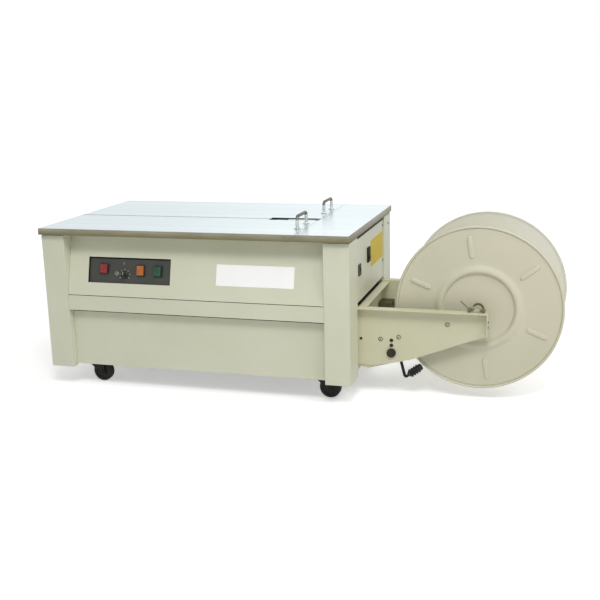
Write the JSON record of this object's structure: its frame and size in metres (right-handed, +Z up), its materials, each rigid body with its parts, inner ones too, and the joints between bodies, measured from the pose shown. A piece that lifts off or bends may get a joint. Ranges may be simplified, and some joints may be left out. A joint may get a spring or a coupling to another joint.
{
  "type": "semi-automatic strapping machine",
  "caption": "Low strapping table: cabinet on casters, hinged stainless lids over a strapping head, sloping control panel, strap reel on two side arms with brake.",
  "frame": {"origin": "centre of the bounding box at floor level", "axes": "+X along the table from its plain end towards the reel, +Y from the control side to the back, +Z up"},
  "size_m": [1.4384, 0.57, 0.5082],
  "materials": {
    "paint": "semi-gloss cream enamel",
    "stainless": "brushed stainless sheet",
    "steel": "zinc-plated steel",
    "chrome": "bright chrome",
    "dark": "blackened steel",
    "plate": "matt dark grey",
    "black": "satin black",
    "black_plastic": "satin black moulding",
    "rubber": "black rubber",
    "wheel": "hard black rubber-faced wheel",
    "red": "gloss red",
    "orange": "gloss orange",
    "green": "gloss green",
    "lamp": "unlit lens",
    "grey": "dark grey moulding",
    "core": "enamel",
    "motor": "grey enamel on aluminium",
    "alloy": "cast, satin"
  },
  "bodies": {
    "cabinet": {"base_frame": "paint", "leg_front_left": "paint", "leg_front_right": "paint", "leg_rear_left": "paint", "leg_rear_right": "paint", "front_rail": "paint", "lower_front_panel": "paint", "upper_front_panel": "paint", "rear_panel": "paint", "left_side_panel": "paint", "right_side_panel": "paint", "table_frame": "paint", "electrical_box": "paint", "reel_bracket": "paint", "reel_arm_front": "paint", "reel_arm_rear": "paint", "table_end_plate": "stainless", "mechanism_deck": "steel", "strap_channel": "steel", "strap_pool_box": "steel", "reel_axle": "steel", "control_plate": "plate", "power_switch": "black_plastic", "strap_guide": "black_plastic", "pilot_lamp": "lamp", "power_inlet": "grey", "gear_motor": "motor", "head_frame": "alloy"},
    "lid_front": {"table_lid_front": "stainless", "lid_handle_front": "chrome"},
    "lid_rear": {"table_lid_rear": "stainless", "lid_handle_rear": "chrome"},
    "power_button_cap": {"power_button": "red"},
    "feed_button_cap": {"feed_button": "orange"},
    "reset_button_cap": {"reset_button": "green"},
    "knob": {"length_knob": "black_plastic"},
    "rocker": {"power_rocker": "black_plastic"},
    "left_gripper": {"gripper_left": "steel"},
    "platen": {"press_platen": "steel"},
    "right_gripper": {"gripper_right": "steel"},
    "slider": {"top_slider": "steel"},
    "blade": {"heater_blade": "dark"},
    "cams": {"cam_shaft": "steel"},
    "drive_roller": {"feed_roller_drive": "steel"},
    "pinch_roller": {"feed_roller_pinch": "rubber"},
    "reel": {"reel_flange_front": "paint", "reel_flange_rear": "paint", "reel_core": "core"},
    "latch": {"axle_latch": "dark"},
    "brake": {"brake_lever": "black", "brake_shoe": "rubber"},
    "fork_front_left": {"caster_fork_front_left": "steel"},
    "wheel_front_left": {"caster_wheel_front_left": "wheel"},
    "fork_rear_left": {"caster_fork_rear_left": "steel"},
    "wheel_rear_left": {"caster_wheel_rear_left": "wheel"},
    "fork_front_right": {"caster_fork_front_right": "steel"},
    "wheel_front_right": {"caster_wheel_front_right": "wheel"},
    "fork_rear_right": {"caster_fork_rear_right": "steel"},
    "wheel_rear_right": {"caster_wheel_rear_right": "wheel"}
  },
  "joints": [
    {"name": "lid_front_hinge", "type": "hinge", "parent": "cabinet", "child": "lid_front", "pos_m": [-0.34215, -0.2785, 0.455], "axis": [1, 0, 0], "range_deg": [0, 88]},
    {"name": "lid_rear_hinge", "type": "hinge", "parent": "cabinet", "child": "lid_rear", "pos_m": [-0.34215, 0.2785, 0.455], "axis": [-1, 0, 0], "range_deg": [0, 88]},
    {"name": "power_press", "type": "slide", "parent": "cabinet", "child": "power_button_cap", "axis": [0, 0.9656, -0.26], "range_m": [0, 0.003], "stiffness_N_per_m": 300, "springref_m": -0.001},
    {"name": "feed_press", "type": "slide", "parent": "cabinet", "child": "feed_button_cap", "axis": [0, 0.9656, -0.26], "range_m": [0, 0.003], "stiffness_N_per_m": 300, "springref_m": -0.001},
    {"name": "reset_press", "type": "slide", "parent": "cabinet", "child": "reset_button_cap", "axis": [0, 0.9656, -0.26], "range_m": [0, 0.003], "stiffness_N_per_m": 300, "springref_m": -0.001},
    {"name": "length_turn", "type": "hinge", "parent": "cabinet", "child": "knob", "pos_m": [-0.47555, -0.25638, 0.33837], "axis": [0, -0.9656, 0.26], "range_deg": [-270, 0]},
    {"name": "power_rock", "type": "hinge", "parent": "cabinet", "child": "rocker", "pos_m": [0.17315, -0.0285, 0.3735], "axis": [0, 1, 0], "range_deg": [0, 18]},
    {"name": "left_grip_lift", "type": "slide", "parent": "cabinet", "child": "left_gripper", "axis": [0, 0, 1], "range_m": [0, 0.004]},
    {"name": "press_lift", "type": "slide", "parent": "cabinet", "child": "platen", "axis": [0, 0, 1], "range_m": [0, 0.004]},
    {"name": "right_grip_lift", "type": "slide", "parent": "cabinet", "child": "right_gripper", "axis": [0, 0, 1], "range_m": [0, 0.004]},
    {"name": "slider_draw", "type": "slide", "parent": "cabinet", "child": "slider", "axis": [0, 1, 0], "range_m": [0, 0.022]},
    {"name": "blade_swing", "type": "slide", "parent": "cabinet", "child": "blade", "axis": [0, 1, 0], "range_m": [0, 0.018]},
    {"name": "cam_turn", "type": "hinge", "parent": "cabinet", "child": "cams", "pos_m": [-0.03915, -0.0304, 0.3], "axis": [1, 0, 0], "continuous": true},
    {"name": "feed_turn", "type": "hinge", "parent": "cabinet", "child": "drive_roller", "pos_m": [0.08085, -0.005, 0.34], "axis": [0, 1, 0], "continuous": true},
    {"name": "pinch_turn", "type": "hinge", "parent": "cabinet", "child": "pinch_roller", "pos_m": [0.08085, -0.005, 0.3765], "axis": [0, 1, 0], "continuous": true},
    {"name": "reel_spin", "type": "hinge", "parent": "cabinet", "child": "reel", "pos_m": [0.49635, 0, 0.2565], "axis": [0, 1, 0], "continuous": true},
    {"name": "latch_flip", "type": "hinge", "parent": "cabinet", "child": "latch", "pos_m": [0.47885, -0.174, 0.2629], "axis": [0, 1, 0], "range_deg": [0, 90]},
    {"name": "brake_swing", "type": "hinge", "parent": "cabinet", "child": "brake", "pos_m": [0.26885, -0.14, 0.131], "axis": [0, 1, 0], "range_deg": [0, 12], "stiffness_Nm_per_rad": 2, "springref_deg": -8.59},
    {"name": "swivel_front_left", "type": "hinge", "parent": "cabinet", "child": "fork_front_left", "pos_m": [-0.61915, -0.192, 0.07], "axis": [0, 0, 1], "continuous": true},
    {"name": "roll_front_left", "type": "hinge", "parent": "fork_front_left", "child": "wheel_front_left", "pos_m": [-0.59515, -0.192, 0.03], "axis": [0, 1, 0], "continuous": true},
    {"name": "swivel_rear_left", "type": "hinge", "parent": "cabinet", "child": "fork_rear_left", "pos_m": [-0.61915, 0.192, 0.07], "axis": [0, 0, 1], "continuous": true},
    {"name": "roll_rear_left", "type": "hinge", "parent": "fork_rear_left", "child": "wheel_rear_left", "pos_m": [-0.59515, 0.192, 0.03], "axis": [0, 1, 0], "continuous": true},
    {"name": "swivel_front_right", "type": "hinge", "parent": "cabinet", "child": "fork_front_right", "pos_m": [0.07885, -0.192, 0.07], "axis": [0, 0, 1], "continuous": true},
    {"name": "roll_front_right", "type": "hinge", "parent": "fork_front_right", "child": "wheel_front_right", "pos_m": [0.10285, -0.192, 0.03], "axis": [0, 1, 0], "continuous": true},
    {"name": "swivel_rear_right", "type": "hinge", "parent": "cabinet", "child": "fork_rear_right", "pos_m": [0.07885, 0.192, 0.07], "axis": [0, 0, 1], "continuous": true},
    {"name": "roll_rear_right", "type": "hinge", "parent": "fork_rear_right", "child": "wheel_rear_right", "pos_m": [0.10285, 0.192, 0.03], "axis": [0, 1, 0], "continuous": true}
  ],
  "couplings": [
    {"joint": "pinch_turn", "follows": "feed_turn", "ratio": -1.25}
  ]
}
